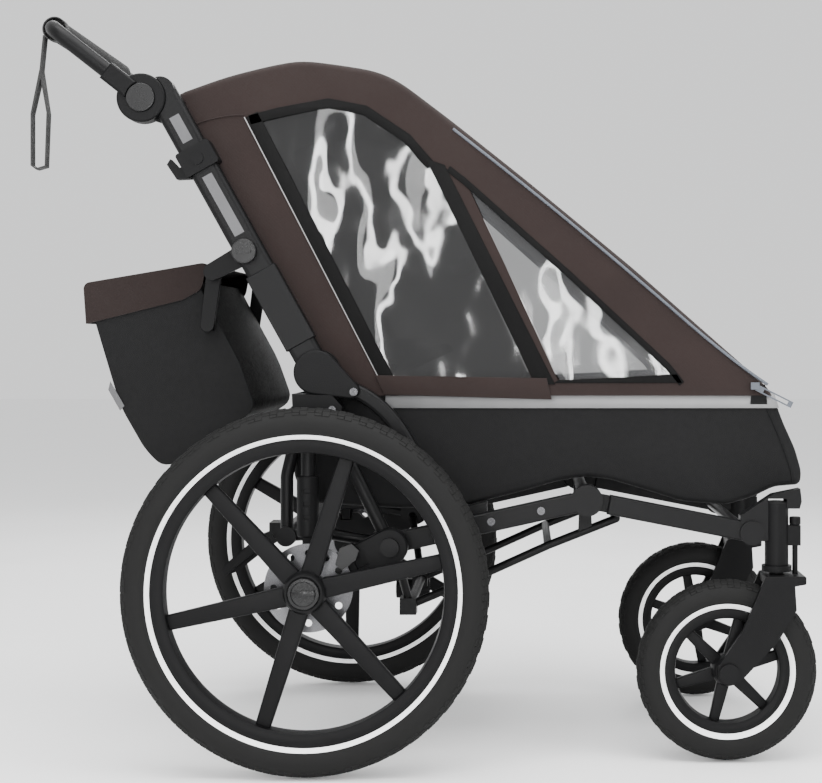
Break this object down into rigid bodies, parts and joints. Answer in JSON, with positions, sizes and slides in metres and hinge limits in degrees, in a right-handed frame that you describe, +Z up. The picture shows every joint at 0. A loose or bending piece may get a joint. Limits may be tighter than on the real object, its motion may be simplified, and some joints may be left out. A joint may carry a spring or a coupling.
{
  "type": "child bicycle trailer",
  "caption": "Folding child trailer and stroller with spoked rear wheels, swivel front wheels, sprung arms, fabric tub and canopy, push bar and rear bag.",
  "frame": {"origin": "centre of the overall box at floor level", "axes": "+X forward in the direction of travel, +Y to the trailer's left, +Z up"},
  "size_m": [1.1126, 0.647, 1.0501],
  "materials": {
    "tyre": "satin",
    "wheel_plastic": "satin",
    "frame_metal": "matte powder coat",
    "joint_plastic": "fine grain",
    "steel": "satin",
    "charcoal_fabric": "coated weave",
    "brown_fabric": "plain weave",
    "seat_fabric": "mesh and padding",
    "clear_window": "clear film",
    "grip_foam": "soft foam",
    "strip_grey": "satin",
    "webbing": "web",
    "zip_grey": "satin"
  },
  "bodies": {
    "chassis": {"frame_rails": "frame_metal", "rear_crossbeam": "frame_metal", "underframe_hoop": "frame_metal", "tow_arm_socket": "joint_plastic", "pod_housings": "joint_plastic", "side_legs": "frame_metal", "curved_arms": "frame_metal", "frame_fixings": "steel", "tub_shell": "charcoal_fabric", "seat_pan": "seat_fabric", "side_wings": "seat_fabric", "bow_pins": "joint_plastic", "canopy_shell": "brown_fabric", "side_windows": "clear_window", "front_window": "clear_window"},
    "front_carrier": {"front_rails": "frame_metal", "steering_heads": "joint_plastic"},
    "push_frame": {"uprights": "frame_metal", "upright_strips": "strip_grey", "upright_joints": "joint_plastic"},
    "roof_bow": {"roof_bow": "frame_metal"},
    "seat_back": {"seat_back": "seat_fabric"},
    "handle": {"handle_tube": "frame_metal", "handle_hubs": "joint_plastic", "handle_grip": "grip_foam"},
    "wrist_strap": {"wrist_strap": "webbing"},
    "bag": {"bag_shell": "charcoal_fabric"},
    "bag_lid": {"bag_flap": "brown_fabric"},
    "brake_pedal": {"brake_pedal": "joint_plastic"},
    "swing_right": {"swing_arm_right": "joint_plastic", "brake_caliper_right": "steel"},
    "strut_right": {"strut_sleeve_right": "joint_plastic"},
    "rear_wheel_right": {"rear_tyre_right": "tyre", "rear_wheel_right": "wheel_plastic", "brake_rotor_right": "steel"},
    "hub_button_right": {"hub_button_right": "joint_plastic"},
    "fork_right": {"front_fork_right": "joint_plastic"},
    "front_wheel_right": {"front_wheel_right": "wheel_plastic", "front_tyre_right": "tyre"},
    "lock_pin_right": {"lock_pin_right": "joint_plastic"},
    "slider_right": {"release_slider_right": "joint_plastic"},
    "handle_button_right": {"handle_button_right": "joint_plastic"},
    "bag_knob_right": {"bag_lock_knob_right": "joint_plastic"},
    "zip_puller_right": {"zip_puller_right": "zip_grey"},
    "swing_left": {"swing_arm_left": "joint_plastic", "brake_caliper_left": "steel"},
    "strut_left": {"strut_sleeve_left": "joint_plastic"},
    "rear_wheel_left": {"rear_tyre_left": "tyre", "rear_wheel_left": "wheel_plastic", "brake_rotor_left": "steel"},
    "hub_button_left": {"hub_button_left": "joint_plastic"},
    "fork_left": {"front_fork_left": "joint_plastic"},
    "front_wheel_left": {"front_wheel_left": "wheel_plastic", "front_tyre_left": "tyre"},
    "lock_pin_left": {"lock_pin_left": "joint_plastic"},
    "slider_left": {"release_slider_left": "joint_plastic"},
    "handle_button_left": {"handle_button_left": "joint_plastic"},
    "bag_knob_left": {"bag_lock_knob_left": "joint_plastic"},
    "zip_puller_left": {"zip_puller_left": "zip_grey"}
  },
  "joints": [
    {"name": "fold", "type": "hinge", "parent": "chassis", "child": "push_frame", "pos_m": [-0.1447, 0, 0.546], "axis": [0, 1, 0], "range_deg": [0, 100], "deforming": ["canopy_shell", "side_windows", "front_window"]},
    {"name": "front_fold", "type": "hinge", "parent": "chassis", "child": "front_carrier", "pos_m": [0.2333, 0, 0.365], "axis": [0, 1, 0], "range_deg": [0, 60.1]},
    {"name": "bow_fold", "type": "hinge", "parent": "chassis", "child": "roof_bow", "pos_m": [0.4763, 0, 0.52], "axis": [0, 1, 0], "range_deg": [-28.1, 0]},
    {"name": "seat_back_fold", "type": "hinge", "parent": "chassis", "child": "seat_back", "pos_m": [-0.0897, 0, 0.5], "axis": [0, 1, 0], "range_deg": [0, 79.1]},
    {"name": "handle_angle", "type": "hinge", "parent": "push_frame", "child": "handle", "pos_m": [-0.3887, 0, 0.928], "axis": [0, 1, 0], "range_deg": [-70, 40]},
    {"name": "strap_swing", "type": "hinge", "parent": "handle", "child": "wrist_strap", "pos_m": [-0.5223, -0.184, 1.0327], "axis": [0, 1, 0], "range_deg": [-40.1, 70.1]},
    {"name": "bag_tilt", "type": "hinge", "parent": "push_frame", "child": "bag", "pos_m": [-0.2947, 0, 0.687], "axis": [0, 1, 0], "range_deg": [0, 20]},
    {"name": "bag_lid_hinge", "type": "hinge", "parent": "bag", "child": "bag_lid", "pos_m": [-0.3087, 0, 0.697], "axis": [0, 1, 0], "range_deg": [0, 70]},
    {"name": "pedal_hinge", "type": "hinge", "parent": "chassis", "child": "brake_pedal", "pos_m": [-0.2357, 0, 0.292], "axis": [0, 1, 0], "range_deg": [-18, 0]},
    {"name": "swing_right", "type": "hinge", "parent": "chassis", "child": "swing_right", "pos_m": [-0.0411, -0.246, 0.3046], "axis": [0, 1, 0], "range_deg": [0, 6], "stiffness_Nm_per_rad": 120, "springref_deg": -14.32},
    {"name": "strut_slide_right", "type": "slide", "parent": "chassis", "child": "strut_right", "axis": [0, 0, 1], "range_m": [0, 0.0123]},
    {"name": "rear_wheel_spin_right", "type": "hinge", "parent": "swing_right", "child": "rear_wheel_right", "pos_m": [-0.1517, -0.3, 0.25], "axis": [0, 1, 0], "continuous": true},
    {"name": "hub_button_press_right", "type": "slide", "parent": "rear_wheel_right", "child": "hub_button_right", "axis": [0, 1, 0], "range_m": [0, 0.003], "stiffness_N_per_m": 400, "springref_m": -0.004},
    {"name": "fork_swivel_right", "type": "hinge", "parent": "front_carrier", "child": "fork_right", "pos_m": [0.5003, -0.208, 0.3], "axis": [0, 0, 1], "continuous": true},
    {"name": "front_wheel_spin_right", "type": "hinge", "parent": "fork_right", "child": "front_wheel_right", "pos_m": [0.4293, -0.208, 0.127], "axis": [0, 1, 0], "continuous": true},
    {"name": "lock_pin_pull_right", "type": "slide", "parent": "front_carrier", "child": "lock_pin_right", "axis": [0, 0, 1], "range_m": [0, 0.008]},
    {"name": "release_slide_right", "type": "slide", "parent": "push_frame", "child": "slider_right", "axis": [-0.486, 0, 0.8739], "range_m": [0, 0.015], "stiffness_N_per_m": 150, "springref_m": -0.01},
    {"name": "handle_button_press_right", "type": "slide", "parent": "handle", "child": "handle_button_right", "axis": [0, 1, 0], "range_m": [0, 0.0022], "stiffness_N_per_m": 400, "springref_m": -0.004},
    {"name": "bag_knob_turn_right", "type": "hinge", "parent": "push_frame", "child": "bag_knob_right", "pos_m": [-0.2447, -0.24, 0.714], "axis": [0, 1, 0], "range_deg": [0, 90]},
    {"name": "zip_slide_right", "type": "slide", "parent": "chassis", "child": "zip_puller_right", "axis": [-0.7659, 0, 0.6429], "range_m": [0, 0.48]},
    {"name": "swing_left", "type": "hinge", "parent": "chassis", "child": "swing_left", "pos_m": [-0.0411, 0.246, 0.3046], "axis": [0, 1, 0], "range_deg": [0, 6], "stiffness_Nm_per_rad": 120, "springref_deg": -14.32},
    {"name": "strut_slide_left", "type": "slide", "parent": "chassis", "child": "strut_left", "axis": [0, 0, 1], "range_m": [0, 0.0123]},
    {"name": "rear_wheel_spin_left", "type": "hinge", "parent": "swing_left", "child": "rear_wheel_left", "pos_m": [-0.1517, 0.3, 0.25], "axis": [0, 1, 0], "continuous": true},
    {"name": "hub_button_press_left", "type": "slide", "parent": "rear_wheel_left", "child": "hub_button_left", "axis": [0, -1, 0], "range_m": [0, 0.003], "stiffness_N_per_m": 400, "springref_m": -0.004},
    {"name": "fork_swivel_left", "type": "hinge", "parent": "front_carrier", "child": "fork_left", "pos_m": [0.5003, 0.208, 0.3], "axis": [0, 0, 1], "continuous": true},
    {"name": "front_wheel_spin_left", "type": "hinge", "parent": "fork_left", "child": "front_wheel_left", "pos_m": [0.4293, 0.208, 0.127], "axis": [0, 1, 0], "continuous": true},
    {"name": "lock_pin_pull_left", "type": "slide", "parent": "front_carrier", "child": "lock_pin_left", "axis": [0, 0, 1], "range_m": [0, 0.008]},
    {"name": "release_slide_left", "type": "slide", "parent": "push_frame", "child": "slider_left", "axis": [-0.486, 0, 0.8739], "range_m": [0, 0.015], "stiffness_N_per_m": 150, "springref_m": -0.01},
    {"name": "handle_button_press_left", "type": "slide", "parent": "handle", "child": "handle_button_left", "axis": [0, -1, 0], "range_m": [0, 0.0022], "stiffness_N_per_m": 400, "springref_m": -0.004},
    {"name": "bag_knob_turn_left", "type": "hinge", "parent": "push_frame", "child": "bag_knob_left", "pos_m": [-0.2447, 0.24, 0.714], "axis": [0, 1, 0], "range_deg": [-90, 0]},
    {"name": "zip_slide_left", "type": "slide", "parent": "chassis", "child": "zip_puller_left", "axis": [-0.7659, 0, 0.6429], "range_m": [0, 0.48]}
  ],
  "couplings": [
    {"joint": "front_fold", "follows": "fold", "ratio": 0.6},
    {"joint": "bow_fold", "follows": "fold", "ratio": -0.28},
    {"joint": "seat_back_fold", "follows": "fold", "ratio": 0.79},
    {"joint": "strap_swing", "follows": "handle_angle", "ratio": -1},
    {"joint": "strut_slide_right", "follows": "swing_right", "m_per_rad": 0.1146},
    {"joint": "strut_slide_left", "follows": "swing_left", "m_per_rad": 0.1146}
  ]
}
